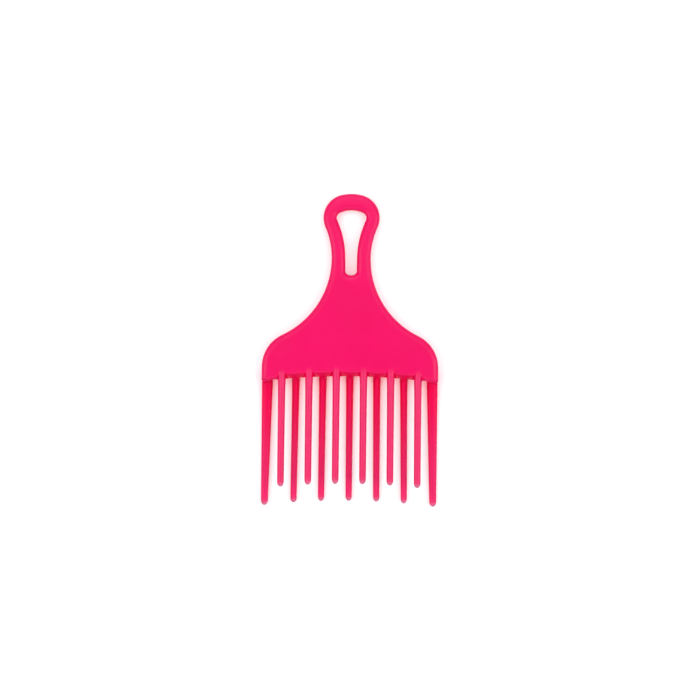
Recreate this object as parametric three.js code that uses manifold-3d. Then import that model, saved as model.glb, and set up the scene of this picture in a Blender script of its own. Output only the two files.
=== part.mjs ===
// A double-row lifting comb, lying on its flat back with the handle loop towards +Y and the front face up.
// Millimetres. X runs across the head, Y along the comb and Z through its thickness.
import * as THREE from "three";
import { mergeVertices } from "three/addons/utils/BufferGeometryUtils.js";
import Module from "manifold-3d";

// Lengths along the body, from the crown of the loop down to the lip that the teeth leave
const CROWN_HEIGHT = 12.7; // crown to the loop's widest level
const LOOP_TO_NECK = 21.65;
const NECK_TO_SHOULDER = 57.2;
const SHOULDER_TO_LIP = 5.1;

// Widths and radii of the body in plan
const LOOP_WIDTH = 29.75;
const CROWN_RADIUS = 24; // the loop is an arch of three arcs, flattest at its crown
const NECK_WIDTH = 20.7;
const HEAD_WIDTH = 92.7;
const SHOULDER_RADIUS = 18.6;
const LIP_RADIUS = 360; // the lip is an arch, highest on the centre line
const LIP_CORNER = 2.5; // at least the edge radius, so that the rounded edge can follow it

// Hanging slot, which leaves a bar of even width on both sides of the loop
const BAR_WIDTH = 7.3;
const CROWN_BAR = 8.7; // bar at the crown, above the slot
const SLOT_CROWN_RADIUS = 14.3;
const SLOT_CORNER_RADIUS = 3;
const SLOT_FOOT_DROP = 8.5; // how far the slot reaches below the neck's level
const SLOT_TAPER = 0.45; // how much half the slot narrows from the neck's level to its foot

// Thickness: the back is flat, and the front face rises evenly from the crown to the lip
const CROWN_THICKNESS = 5.5;
const LIP_THICKNESS = 10.5;
const EDGE_RADIUS = 2.4;

// Rear row: round teeth between two wedge-shaped end teeth, with equal gaps at the roots
const REAR_COUNT = 5;
const REAR_LENGTH = 65.7;
const REAR_ROOT_WIDTH = 4.25;
const REAR_SHANK_WIDTH = 3.9; // the taper's width at the lip, without the flare of the root
const REAR_TIP_WIDTH = 3.35;
const TIP_SPREAD = 0.35; // the tips stand this much further apart than the roots
const END_ROOT_WIDTH = 5.85;
const END_TIP_WIDTH = 3.65;
const END_FULLNESS = 2.6; // the end teeth are ovals drawn out towards the corners; 2 is a plain oval
const END_ROOT_PROUD = 0.15; // the end tooth's outer edge stands this far out of the head's side
const END_TIP_PROUD = 0.05;
const REST_CLEARANCE = 0.2; // the rear teeth lie this far above the plane of the back

// Front row: parallel teeth, one over the middle of each gap of the rear row
const FRONT_COUNT = REAR_COUNT + 1;
const FRONT_LENGTH = 55.7;
const FRONT_ROOT_WIDTH = 4.2;
const FRONT_SHANK_WIDTH = 3.85;
const FRONT_TIP_WIDTH = 3.55;
const FRONT_RISE = 0.3; // the front teeth's crests stand this far proud of the front face

// Both rows
const TOOTH_ROOT_DEPTH = 4;
const TOOTH_TIP_DEPTH = 3.1;
const TIP_DOME = 2.6;
const FLARE_RUN = 5; // the root's flare falls to a third over this length
const FLARE_REACH = 15; // and has faded out here
const ROOT_RUN = 6.7; // how far a tooth's root runs up into the head
const ROOT_DOME = 4.2;
const SEAT_STEP = 0.2; // each root ends in a flat seat this far below the lip

// Root pockets, which part the roots of one row down to a thin web between the rows
const POCKET_HEIGHT = 3.6;
const TONGUE_DROP = 3.2; // how far the tongue between two roots hangs down into the pocket
const END_POCKET_REACH = 2.4;
const WEB = 1.3;
const ROUND_OVER = 3.3; // each tongue bends down to the web over this length

// Fineness of curves
const CURVE_SEGMENTS = 8;
const EDGE_SEGMENTS = 3;
const TOOTH_SIDES = 16;
const DOME_SEGMENTS = 5;
const FLARE_RINGS = 3;
const QUARTER = Math.PI / 2;
const MERGE = 1e-4;
const FAR = 40; // how far a cutter runs past what it cuts
const PLAIN_OVAL = 2;
const ACROSS = new THREE.Vector3(1, 0, 0);
const ALONG = new THREE.Vector3(0, 1, 0);
const THROUGH = new THREE.Vector3(0, 0, 1);

// Layout of the rear row across the head
const ROOT_SPAN = HEAD_WIDTH + 2 * END_ROOT_PROUD;
const ROOT_GAP = (ROOT_SPAN - 2 * END_ROOT_WIDTH - REAR_COUNT * REAR_ROOT_WIDTH) / FRONT_COUNT;
const ROOT_PITCH = ROOT_GAP + REAR_ROOT_WIDTH;
const TIP_PITCH = ROOT_PITCH + TIP_SPREAD;
const END_ROOT_X = (ROOT_SPAN - END_ROOT_WIDTH) / 2;
const END_TIP_X = (HEAD_WIDTH - END_TIP_WIDTH) / 2 + END_TIP_PROUD;

// Levels along Y, with the whole length centred on the origin
function lipDrop(x) {
  return LIP_RADIUS - Math.sqrt(LIP_RADIUS ** 2 - x ** 2);
}
const BODY_LENGTH = CROWN_HEIGHT + LOOP_TO_NECK + NECK_TO_SHOULDER + SHOULDER_TO_LIP;
const LENGTH = BODY_LENGTH + lipDrop(END_ROOT_X) + REAR_LENGTH;
const CROWN_Y = LENGTH / 2;
const LOOP_Y = CROWN_Y - CROWN_HEIGHT;
const NECK_Y = LOOP_Y - LOOP_TO_NECK;
const SHOULDER_Y = NECK_Y - NECK_TO_SHOULDER;
const LIP_Y = SHOULDER_Y - SHOULDER_TO_LIP;
function lipY(x) {
  return LIP_Y - lipDrop(x);
}

// Levels along Z
const FACE_SLOPE = (LIP_THICKNESS - CROWN_THICKNESS) / BODY_LENGTH;
function faceZ(y) {
  return CROWN_THICKNESS + FACE_SLOPE * (CROWN_Y - y);
}
function backZ() {
  return 0;
}
const REAR_CREST = REST_CLEARANCE + TOOTH_ROOT_DEPTH;
const FRONT_UNDERSIDE = LIP_THICKNESS + FRONT_RISE - TOOTH_ROOT_DEPTH;
const WEB_MIDDLE = (REAR_CREST + FRONT_UNDERSIDE) / 2;
const WEB_TOP = WEB_MIDDLE + WEB / 2;
const WEB_BOTTOM = WEB_MIDDLE - WEB / 2;

const wasm = await Module();
wasm.setup();

function solid(geometry) {
  geometry.deleteAttribute("normal");
  geometry.deleteAttribute("uv");
  const merged = mergeVertices(geometry, MERGE);
  const vertProperties = merged.attributes.position.array;
  const triVerts = new Uint32Array(merged.index.array);
  return new wasm.Manifold(new wasm.Mesh({ numProp: 3, vertProperties, triVerts }));
}

function named(name, shape, material) {
  const made = shape.getMesh();
  const geometry = new THREE.BufferGeometry();
  geometry.setAttribute("position", new THREE.BufferAttribute(made.vertProperties, 3));
  geometry.setIndex(new THREE.BufferAttribute(made.triVerts, 1));
  const mesh = new THREE.Mesh(geometry, material);
  mesh.name = name;
  return mesh;
}

// The radius of a hollow arc that is upright at the neck and runs into a round of the given radius and centre
function hollowRadius(centreX, radius, levels) {
  const offset = centreX - NECK_WIDTH / 2;
  return (offset ** 2 + levels ** 2 - radius ** 2) / (2 * (offset + radius));
}
const SHOULDER_X = HEAD_WIDTH / 2 - SHOULDER_RADIUS;
const FLARE_RADIUS = hollowRadius(SHOULDER_X, SHOULDER_RADIUS, NECK_TO_SHOULDER);
const FLARE_X = NECK_WIDTH / 2 + FLARE_RADIUS;
const FLARE_ANGLE = Math.atan2(NECK_TO_SHOULDER, FLARE_X - SHOULDER_X);

// The loop's side arcs, which are upright at the loop's widest level and run into the crown's arc
const CROWN_DEPTH = CROWN_RADIUS - CROWN_HEIGHT; // the crown arc's centre lies this far below that level
const LOOP_REACH = CROWN_RADIUS ** 2 - CROWN_DEPTH ** 2 - (LOOP_WIDTH / 2) ** 2;
const LOOP_RADIUS = LOOP_REACH / (2 * CROWN_RADIUS - LOOP_WIDTH);
const LOOP_X = LOOP_WIDTH / 2 - LOOP_RADIUS;
const CROWN_ANGLE = Math.atan2(CROWN_DEPTH, LOOP_X);
const WAIST_RADIUS = hollowRadius(LOOP_X, LOOP_RADIUS, LOOP_TO_NECK);
const WAIST_X = NECK_WIDTH / 2 + WAIST_RADIUS;
const WAIST_ANGLE = Math.atan2(LOOP_TO_NECK, WAIST_X - LOOP_X);

// Outline of the body: lip, corner, shoulder, flare, waist and loop, then the same down the left
function bodyOutline() {
  const cornerX = HEAD_WIDTH / 2 - LIP_CORNER;
  const cornerRise = Math.sqrt((LIP_RADIUS + LIP_CORNER) ** 2 - cornerX ** 2);
  const lipCentre = LIP_Y - LIP_RADIUS;
  const cornerY = lipCentre + cornerRise;
  const spread = Math.atan2(cornerX, cornerRise);
  const outline = new THREE.Shape();
  outline.absarc(0, lipCentre, LIP_RADIUS, QUARTER + spread, QUARTER - spread, true);
  outline.absarc(cornerX, cornerY, LIP_CORNER, -QUARTER - spread, 0, false);
  outline.absarc(SHOULDER_X, SHOULDER_Y, SHOULDER_RADIUS, 0, FLARE_ANGLE, false);
  outline.absarc(FLARE_X, NECK_Y, FLARE_RADIUS, FLARE_ANGLE + Math.PI, Math.PI, true);
  outline.absarc(WAIST_X, NECK_Y, WAIST_RADIUS, Math.PI, Math.PI - WAIST_ANGLE, true);
  outline.absarc(LOOP_X, LOOP_Y, LOOP_RADIUS, -WAIST_ANGLE, CROWN_ANGLE, false);
  outline.absarc(0, LOOP_Y - CROWN_DEPTH, CROWN_RADIUS, CROWN_ANGLE, Math.PI - CROWN_ANGLE, false);
  outline.absarc(-LOOP_X, LOOP_Y, LOOP_RADIUS, Math.PI - CROWN_ANGLE, Math.PI + WAIST_ANGLE, false);
  outline.absarc(-WAIST_X, NECK_Y, WAIST_RADIUS, WAIST_ANGLE, 0, true);
  outline.absarc(-FLARE_X, NECK_Y, FLARE_RADIUS, 0, -FLARE_ANGLE, true);
  outline.absarc(-SHOULDER_X, SHOULDER_Y, SHOULDER_RADIUS, Math.PI - FLARE_ANGLE, Math.PI, false);
  outline.absarc(-cornerX, cornerY, LIP_CORNER, Math.PI, 3 * QUARTER + spread, false);
  return outline;
}

// Where two circles meet, on the left of the way from the first centre to the second
function meeting(first, firstRadius, second, secondRadius) {
  const along = second.clone().sub(first);
  const distance = along.length();
  along.normalize();
  const reach = (distance ** 2 + firstRadius ** 2 - secondRadius ** 2) / (2 * distance);
  const rise = Math.sqrt(firstRadius ** 2 - reach ** 2);
  const across = new THREE.Vector2(-along.y, along.x);
  return first.clone().addScaledVector(along, reach).addScaledVector(across, rise);
}

// Outline of the hanging slot: its sides follow the waist, its crown is a flat arch with round corners
function slotOutline() {
  const sideRadius = WAIST_RADIUS + BAR_WIDTH;
  const side = new THREE.Vector2(WAIST_X, NECK_Y);
  const crown = new THREE.Vector2(0, CROWN_Y - CROWN_BAR - SLOT_CROWN_RADIUS);
  const inner = SLOT_CROWN_RADIUS - SLOT_CORNER_RADIUS;
  const corner = meeting(crown, inner, side, sideRadius + SLOT_CORNER_RADIUS);
  const sideAngle = corner.clone().sub(side).angle();
  const crownAngle = corner.clone().sub(crown).angle();
  const neckHalf = NECK_WIDTH / 2 - BAR_WIDTH;
  const foot = neckHalf - SLOT_TAPER;
  const leftAngle = Math.PI - sideAngle;
  const slot = new THREE.Path();
  slot.absarc(side.x, side.y, sideRadius, Math.PI, sideAngle, true);
  slot.absarc(corner.x, corner.y, SLOT_CORNER_RADIUS, -leftAngle, crownAngle, false);
  slot.absarc(crown.x, crown.y, SLOT_CROWN_RADIUS, crownAngle, Math.PI - crownAngle, false);
  slot.absarc(-corner.x, corner.y, SLOT_CORNER_RADIUS, Math.PI - crownAngle, Math.PI + leftAngle, false);
  slot.absarc(-side.x, side.y, sideRadius, leftAngle, 0, true);
  slot.absarc(0, NECK_Y - SLOT_FOOT_DROP + foot, foot, Math.PI, 2 * Math.PI, false);
  return slot;
}

// The body before its roots: the outline with rounded edges, its front half lifted to the rising face
function plate() {
  const outline = bodyOutline();
  outline.holes.push(slotOutline());
  const geometry = new THREE.ExtrudeGeometry(outline, {
    depth: LIP_THICKNESS - 2 * EDGE_RADIUS,
    bevelThickness: EDGE_RADIUS,
    bevelSize: EDGE_RADIUS,
    bevelOffset: -EDGE_RADIUS,
    bevelSegments: EDGE_SEGMENTS,
    curveSegments: CURVE_SEGMENTS,
  });
  geometry.translate(0, 0, EDGE_RADIUS);
  const corners = geometry.attributes.position;
  for (let i = 0; i < corners.count; i += 1) {
    const lift = faceZ(corners.getY(i)) - LIP_THICKNESS;
    if (corners.getZ(i) > LIP_THICKNESS / 2) corners.setZ(i, corners.getZ(i) + lift);
  }
  return solid(geometry);
}

// A shape in plan, carried upright from one level to another
function upright(shape, bottom, top) {
  const options = { depth: top - bottom, bevelEnabled: false, curveSegments: CURVE_SEGMENTS };
  return solid(new THREE.ExtrudeGeometry(shape, options).translate(0, 0, bottom));
}

// The pocket between two neighbouring roots, with a half-round tongue of the face left hanging into it
function pocketShape(left, right) {
  const middle = (left + right) / 2;
  const peak = lipY(middle) + POCKET_HEIGHT;
  const low = lipY(middle) - FAR;
  const shape = new THREE.Shape();
  shape.moveTo(left, low);
  shape.lineTo(right, low);
  shape.absellipse(middle, peak, (right - left) / 2, TONGUE_DROP, 0, -Math.PI, true);
  return shape;
}

// What the round-over takes off the tongue between two roots: the space outside a quarter oval that leaves
// the given face above the lip and meets the web at the lip, square to the lip's arch there
function roundOver(left, right, face, web) {
  const middle = (left + right) / 2;
  const top = LIP_Y + ROUND_OVER;
  const height = face(lipY(middle) + ROUND_OVER) - web;
  const away = web + Math.sign(height) * FAR;
  const shape = new THREE.Shape();
  shape.moveTo(LIP_Y - FAR, web);
  shape.absellipse(top, web, ROUND_OVER, height, Math.PI, QUARTER, true);
  shape.lineTo(top, away);
  shape.lineTo(LIP_Y - FAR, away);
  const options = { depth: right - left, bevelEnabled: false, curveSegments: CURVE_SEGMENTS };
  const geometry = new THREE.ExtrudeGeometry(shape, options);
  geometry.translate(0, 0, (left - right) / 2);
  geometry.applyMatrix4(new THREE.Matrix4().makeBasis(ALONG, THROUGH, ACROSS));
  geometry.translate(0, LIP_RADIUS - LIP_Y, 0);
  geometry.rotateZ(-Math.asin(middle / LIP_RADIUS));
  geometry.translate(0, LIP_Y - LIP_RADIUS, 0);
  return solid(geometry);
}

// The small pocket on the outer side of the last front root; side is 1 on the right and -1 on the left
function endPocketShape(flank, side) {
  const outer = flank + side * END_POCKET_REACH;
  const peak = lipY(flank) + POCKET_HEIGHT;
  const drop = peak - lipY(outer);
  const turn = side > 0;
  const shape = new THREE.Shape();
  shape.moveTo(flank, peak - FAR);
  shape.lineTo(outer, peak - FAR);
  shape.absellipse(outer, peak, END_POCKET_REACH, drop, -QUARTER, turn ? -Math.PI : 0, turn);
  return shape;
}

// Rings of a tooth with its root, from the tip's dome to the root's: each a share of the section and a level
function rings(tooth) {
  const found = [];
  for (let i = 0; i <= DOME_SEGMENTS; i += 1) {
    const turn = (i / DOME_SEGMENTS) * QUARTER;
    found.push(new THREE.Vector2(Math.sin(turn), tooth.tipY + TIP_DOME * (1 - Math.cos(turn))));
  }
  for (let i = FLARE_RINGS; i >= 0; i -= 1) {
    found.push(new THREE.Vector2(1, tooth.rootY - FLARE_REACH * (i / FLARE_RINGS) ** 2));
  }
  for (let i = 0; i <= DOME_SEGMENTS; i += 1) {
    const turn = (i / DOME_SEGMENTS) * QUARTER;
    const level = tooth.rootY + ROOT_RUN - ROOT_DOME * (1 - Math.sin(turn));
    found.push(new THREE.Vector2(Math.cos(turn), level));
  }
  return found;
}

// One offset of a point on a round rim, moved out towards the section's corners as the fullness rises from 2
function filled(offset, radius, fullness) {
  return radius && Math.sign(offset) * radius * (Math.abs(offset) / radius) ** (2 / fullness);
}

// A whole tooth with its root: an oval carried along Y, tapering from a flared root to the tip
function rod(tooth) {
  const { lerp } = THREE.MathUtils;
  const geometry = new THREE.LatheGeometry(rings(tooth), TOOTH_SIDES);
  const corners = geometry.attributes.position;
  for (let i = 0; i < corners.count; i += 1) {
    const y = corners.getY(i);
    const below = tooth.rootY - y;
    const share = below / (tooth.rootY - tooth.tipY);
    const flare = (tooth.rootWidth - tooth.shankWidth) * Math.exp(-Math.max(below, 0) / FLARE_RUN);
    const width = lerp(tooth.shankWidth, tooth.tipWidth, share) + flare;
    const depth = lerp(TOOTH_ROOT_DEPTH, TOOTH_TIP_DEPTH, share);
    const radius = Math.hypot(corners.getX(i), corners.getZ(i));
    const across = (filled(corners.getX(i), radius, tooth.fullness) * width) / 2;
    const through = (filled(corners.getZ(i), radius, tooth.fullness) * depth) / 2;
    const axis = tooth.rootZ + tooth.slope * below;
    corners.setXYZ(i, lerp(tooth.rootX, tooth.tipX, share) + across, y, axis + through);
  }
  return solid(geometry);
}

// Sections of the three kinds of teeth
const REAR_SECTION = {
  rootWidth: REAR_ROOT_WIDTH,
  shankWidth: REAR_SHANK_WIDTH,
  tipWidth: REAR_TIP_WIDTH,
  fullness: PLAIN_OVAL,
};
const END_SECTION = {
  rootWidth: END_ROOT_WIDTH,
  shankWidth: END_ROOT_WIDTH,
  tipWidth: END_TIP_WIDTH,
  fullness: END_FULLNESS,
};
const FRONT_SECTION = {
  rootWidth: FRONT_ROOT_WIDTH,
  shankWidth: FRONT_SHANK_WIDTH,
  tipWidth: FRONT_TIP_WIDTH,
  fullness: PLAIN_OVAL,
};

function rearTooth(name, rootX, tipX, section) {
  const rootY = lipY(rootX);
  const tipY = rootY - REAR_LENGTH;
  const rootZ = REST_CLEARANCE + TOOTH_ROOT_DEPTH / 2;
  return { name, rootX, tipX, ...section, rootY, tipY, rootZ, slope: 0 };
}

function frontTooth(name, x) {
  const rootY = lipY(x);
  const tipY = rootY - FRONT_LENGTH;
  const rootZ = faceZ(rootY) + FRONT_RISE - TOOTH_ROOT_DEPTH / 2;
  return { name, rootX: x, tipX: x, ...FRONT_SECTION, rootY, tipY, rootZ, slope: FACE_SLOPE };
}

function rearRow() {
  const row = [rearTooth("end_tooth_left", -END_ROOT_X, -END_TIP_X, END_SECTION)];
  for (let i = 0; i < REAR_COUNT; i += 1) {
    const place = i - (REAR_COUNT - 1) / 2;
    row.push(rearTooth(`rear_tooth_${i + 1}`, place * ROOT_PITCH, place * TIP_PITCH, REAR_SECTION));
  }
  row.push(rearTooth("end_tooth_right", END_ROOT_X, END_TIP_X, END_SECTION));
  return row;
}

function frontRow() {
  const row = [];
  for (let i = 0; i < FRONT_COUNT; i += 1) {
    row.push(frontTooth(`front_tooth_${i + 1}`, (i - (FRONT_COUNT - 1) / 2) * ROOT_PITCH));
  }
  return row;
}

// Everything below a tooth's seat, as a block round that tooth
function belowSeat(tooth) {
  const seat = lipY(Math.abs(tooth.rootX) + tooth.rootWidth / 2) - SEAT_STEP;
  const block = new THREE.BoxGeometry(FAR, 2 * FAR, FAR);
  return solid(block.translate(tooth.rootX, seat - FAR, 0));
}

// What is cut away between the roots of one row, from its web out past the given face
function pockets(row, face, web) {
  const past = web + Math.sign(face(LIP_Y) - web) * FAR;
  return row.slice(1).flatMap((tooth, i) => {
    const left = row[i].rootX + row[i].rootWidth / 2;
    const right = tooth.rootX - tooth.rootWidth / 2;
    const pocket = upright(pocketShape(left, right), Math.min(web, past), Math.max(web, past));
    return [pocket, roundOver(left, right, face, web)];
  });
}

function body(front, rear, roots) {
  const last = front[FRONT_COUNT - 1];
  const flank = last.rootX + last.rootWidth / 2;
  const cuts = [...pockets(front, faceZ, WEB_TOP), ...pockets(rear, backZ, WEB_BOTTOM)];
  cuts.push(upright(endPocketShape(flank, 1), WEB_TOP, FAR));
  cuts.push(upright(endPocketShape(-flank, -1), WEB_TOP, FAR));
  let made = plate();
  for (const cut of cuts) made = made.subtract(cut);
  for (const root of roots) made = made.add(root);
  return made;
}

const plastic = new THREE.MeshStandardMaterial({ color: 0xfa1766, roughness: 0.38, metalness: 0 });
const comb = new THREE.Group();
comb.name = "lifting_comb";
const rear = rearRow();
const front = frontRow();
const roots = [];
for (const tooth of [...rear, ...front]) {
  const whole = rod(tooth);
  const below = belowSeat(tooth);
  roots.push(whole.subtract(below));
  comb.add(named(tooth.name, whole.intersect(below), plastic));
}
comb.add(named("body", body(front, rear, roots), plastic));

export default comb;
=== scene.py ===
"""The looks of a double-row lifting comb of pink plastic that lies on its back, seen from straight above.

Metres. X runs across the head, Y along the comb with the handle loop at the top, Z through its thickness.
"""

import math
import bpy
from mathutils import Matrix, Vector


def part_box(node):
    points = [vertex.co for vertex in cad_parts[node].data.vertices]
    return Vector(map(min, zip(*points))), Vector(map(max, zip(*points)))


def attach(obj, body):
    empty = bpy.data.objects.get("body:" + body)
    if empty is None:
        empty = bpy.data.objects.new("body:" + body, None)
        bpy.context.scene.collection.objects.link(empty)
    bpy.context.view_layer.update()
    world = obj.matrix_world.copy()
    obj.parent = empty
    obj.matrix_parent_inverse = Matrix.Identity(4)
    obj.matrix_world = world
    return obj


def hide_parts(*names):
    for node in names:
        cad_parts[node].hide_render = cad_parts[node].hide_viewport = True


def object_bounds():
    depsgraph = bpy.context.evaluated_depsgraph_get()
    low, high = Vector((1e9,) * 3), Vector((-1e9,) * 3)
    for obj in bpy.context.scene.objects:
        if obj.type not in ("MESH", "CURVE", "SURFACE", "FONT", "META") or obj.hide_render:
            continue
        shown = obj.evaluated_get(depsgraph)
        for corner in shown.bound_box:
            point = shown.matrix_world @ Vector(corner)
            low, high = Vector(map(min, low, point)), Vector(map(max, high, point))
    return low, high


bl_info = {
    "name": "Lifting comb",
    "version": (1, 0, 0),
    "blender": (4, 5, 0),
    "location": "3D View > Sidebar > Comb",
    "description": "Builds a moulded double-row lifting comb and a small photo studio around it",
    "category": "Object",
}

from types import SimpleNamespace

import bpy
import numpy as np
from bpy.props import FloatProperty, FloatVectorProperty, IntProperty, PointerProperty
from bpy.types import Operator, Panel, PropertyGroup
from mathutils import Vector

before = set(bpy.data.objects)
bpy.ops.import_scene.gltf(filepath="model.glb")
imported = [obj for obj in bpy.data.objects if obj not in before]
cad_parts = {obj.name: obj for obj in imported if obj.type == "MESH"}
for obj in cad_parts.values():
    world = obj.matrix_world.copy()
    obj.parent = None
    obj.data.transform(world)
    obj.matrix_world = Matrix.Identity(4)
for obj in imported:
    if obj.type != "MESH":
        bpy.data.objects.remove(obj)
CAD_LOW, CAD_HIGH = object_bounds()
_, BODY_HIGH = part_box("body")
MM = 0.001
QUARTER = math.pi / 2

# Points closer together than this are one, and a CAD tooth's seat is this deep
WELD = 1e-7
SEAT_DEPTH = 0.01 * MM

# How finely the surfaces are divided
ARC_STEPS = 36
CORNER_STEPS = 14
LIP_STRIP = 6.6 * MM
LIP_ROWS = 32
HEAD_ROWS = 30
FOOT_ROWS = 9
SIDE_ROWS = 22
CROWN_ROWS = 11
RIM_COLUMNS = 9
GAP_COLUMNS = 9
TOOTH_SIDES = 40
TOOTH_RINGS = 60
DOME_RINGS = 14
SHARP_ANGLE = math.radians(40)

# Edge runs that the rows fall at the slot's foot, and the loop's angle where they turn to the crown
FOOT_SLANT = 2
CROWN_TURN = math.radians(48)

# Least sine of a row's angle with the outline, and the share of a row's end that its rim may take
LEAST_SINE = 0.5
RIM_SHARE = 0.45

# Shape of the roots where they meet the head, and of the head's edges
FLANK_FALL = 5
HOLLOW = 0.4 * MM
CORNER_EASE = 1.2 * MM
EDGE_SOFTNESS = 2.6

# Rings of a tooth inside the head: depth as a share of half the root's run, and share of the full section
TUCKED_RINGS = ((1, 0), (1, 0.94), (0.5, 0.955), (0.1, 0.975))

# Powers of a tooth's section, and which way the roots of a row spread towards the web
ROUND = 2
FLATTENED = 2.6
UP = 1
DOWN = -1

# Plastic
PLASTIC_IOR = 1.49
SATIN_NAME = "satin_pink_plastic"
SATIN_GLOSS = 0.27
# Less gloss for the rear row and the pockets: painted shade on the reflection that the head and the front
# row keep off
SHADED_GLOSS_NAME = "shaded_pink_plastic"
SHADED_GLOSS = 0.1

# Marks where light and shade are painted into the plastic's colour: painted light where it is thin, painted
# shade in the pockets and at the rear roots
# Painted light: paler towards each tip over this run, and by this share over the teeth and the front roots'
# crests, for light through the thin plastic and the highlights on them
PAINTED_LIGHT_MARK = "tip"
PAINTED_LIGHT_RUN = 3.6 * MM
PAINTED_LIGHT_SHARE = 0.1
CREST_FADE = 0.5
# Painted shade: deeper colour where the front lies below the face by this sink, within this height of the
# lip, and down the rear teeth over this run; faces past this share take the less glossy plastic
PAINTED_SHADE_MARK = "painted_shade"
PAINTED_SHADE_RUN = 50 * MM
PAINTED_SHADE_SINK = 0.45 * MM
PAINTED_SHADE_HEIGHT = 6 * MM
SHADED_GLOSS_FROM = 0.5

# Patterns of the plastic: waves per metre and octaves of detail, the range that is used, and depths
PIGMENT = (55, 3)
POLISH = (160, 5)
COOLING = (70, 1)
SKIN = (1500, 2)
PATTERN_LOW = 0.3
PATTERN_HIGH = 0.7
COOLING_DEPTH = 0.03 * MM
SKIN_DEPTH = 0.006 * MM

# Camera, lamps and walls
SENSOR = 36
SOFTBOX_SIZE = 0.7
SOFTBOX_DISTANCE = 0.95
LAMP_ELEVATION = math.radians(50)
HANDLE_SHARE = 0.75
TIP_SHARE = 0.5
WALL_TOP = 0.1
CEILING_START = 0.6

# Floor, the part of it where pink light and shade are painted at the tooth roots, and where it turns plain
# white
FLOOR_HALF = 3
FLOOR_LEVEL = -0.02 * MM
GLOW_TOP = -14 * MM
GLOW_END = -56 * MM
GLOW_EDGE = 6 * MM
SHADOW_END = 2 * CAD_HIGH.y
PLAIN_START = 5 * CAD_HIGH.y


def size(name, millimetres, description):
    """A length in metres that a user may change."""
    return FloatProperty(name=name, description=description, default=millimetres * MM, unit="LENGTH")


def tint(name, colour, description):
    """A colour in linear light that a user may change."""
    return FloatVectorProperty(name=name, description=description, default=colour, subtype="COLOR", size=3)


def portion(name, share, description):
    """A share from 0 to 1 that a user may change."""
    return FloatProperty(name=name, description=description, default=share, min=0, max=1, subtype="FACTOR")


class CombBodySizes(PropertyGroup):
    """Sizes of the body in plan and in thickness."""

    head_width: size("Head width", 92.7, "Width across the head")
    loop_width: size("Loop width", 29.75, "Width of the handle loop at its widest level")
    neck_width: size("Neck width", 20.7, "Width of the handle at its narrowest level")
    crown_height: size("Crown height", 12.7, "From the loop's widest level up to its crown")
    crown_radius: size("Crown radius", 24, "Radius of the loop's flat crown")
    loop_to_neck: size("Loop to neck", 21.65, "From the loop's widest level down to the neck")
    neck_to_shoulder: size("Neck to shoulder", 57.2, "From the neck down to where the head's sides begin")
    shoulder_to_lip: size("Shoulder to lip", 5.1, "From the shoulder level to the lip on the centre line")
    shoulder_radius: size("Shoulder radius", 18.6, "Radius of the round shoulders")
    lip_radius: size("Lip radius", 360, "Radius of the arch that the teeth leave")
    lip_corner: size("Lip corner", 1.2, "Radius of the corners between the lip and the sides")
    crown_thickness: size("Crown thickness", 5.5, "Thickness at the crown of the loop")
    lip_thickness: size("Lip thickness", 10.5, "Thickness at the lip")
    edge_run: size("Edge run", 3.5, "Width in plan of the rounded edges")
    edge_fall: size("Edge fall", 2.4, "Height of the rounded edges")
    bar_width: size("Bar width", 7.3, "Width of the bars on both sides of the hanging slot")
    crown_bar: size("Crown bar", 8.7, "Width of the bar above the hanging slot")
    slot_crown_radius: size("Slot crown radius", 14.3, "Radius of the slot's flat arch")
    slot_corner_radius: size("Slot corner radius", 3, "Radius of the slot's upper corners")
    slot_foot_drop: size("Slot foot drop", 8.75, "How far the slot reaches below the neck's level")
    slot_foot_height: size("Slot foot height", 2.1, "Height of the slot's rounded foot")
    slot_taper: size("Slot taper", 0.1, "How much half the slot narrows from the neck to its foot")


class CombToothSizes(PropertyGroup):
    """Sizes of the two rows of teeth and of the pockets between their roots."""

    rear_count: IntProperty(name="Rear teeth", description="Round teeth of the rear row", default=5, min=1)
    rear_root_width: size("Rear root width", 4.25, "Width of a rear tooth where it leaves the lip")
    rear_shank_width: size("Rear shank width", 3.9, "Width of a rear tooth past its flare")
    rear_tip_width: size("Rear tip width", 3.35, "Width of a rear tooth at its tip")
    front_root_width: size("Front root width", 4.2, "Width of a front tooth where it leaves the lip")
    front_shank_width: size("Front shank width", 3.85, "Width of a front tooth past its flare")
    front_tip_width: size("Front tip width", 3.55, "Width of a front tooth at its tip")
    end_root_width: size("End root width", 5.85, "Width of an end tooth at its root")
    end_tip_width: size("End tip width", 3.65, "Width of an end tooth at its tip")
    flare_run: size("Flare run", 5.0, "Length over which the flare eases off")
    root_depth: size("Root depth", 4.0, "Depth of a tooth at its root")
    tip_depth: size("Tip depth", 3.1, "Depth of a tooth at its tip")
    tip_dome: size("Tip dome", 2.6, "Length of the rounded tip")
    root_run: size("Root run", 6.7, "How far a tooth's root runs up into the head")
    root_dome: size("Root dome", 4.2, "Length of the rounded end of the root")
    root_fillet: size("Root fillet", 1.4, "How far a tooth's root spreads towards the web")
    fillet_run: size("Fillet run", 2.4, "Length of that fillet")
    front_rise: size("Front rise", 0.3, "How far the front teeth stand proud of the front face")
    rest_clearance: size("Rest clearance", 0.2, "How far the rear teeth lie above the back's plane")
    pocket_height: size("Pocket height", 3.6, "How far the pockets reach above the lip")
    tongue_drop: size("Tongue drop", 3.2, "How far a tongue of the face hangs into a pocket")
    round_over: size("Round-over", 3.3, "Length over which a tongue bends down to the web")
    end_pocket: size("End pocket", 2.4, "Width of the small pocket outside the last front root")
    pocket_wall: size("Pocket wall", 1.6, "Width in plan of a pocket's sloping wall")
    web: size("Web", 1.3, "Thickness of the web between the rows")
    web_edge: size("Web edge", 0.2, "Radius of the web's edges at the lip")
    web_setback: size("Web setback", 0.3, "How far the web ends above the lip between the teeth")


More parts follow.
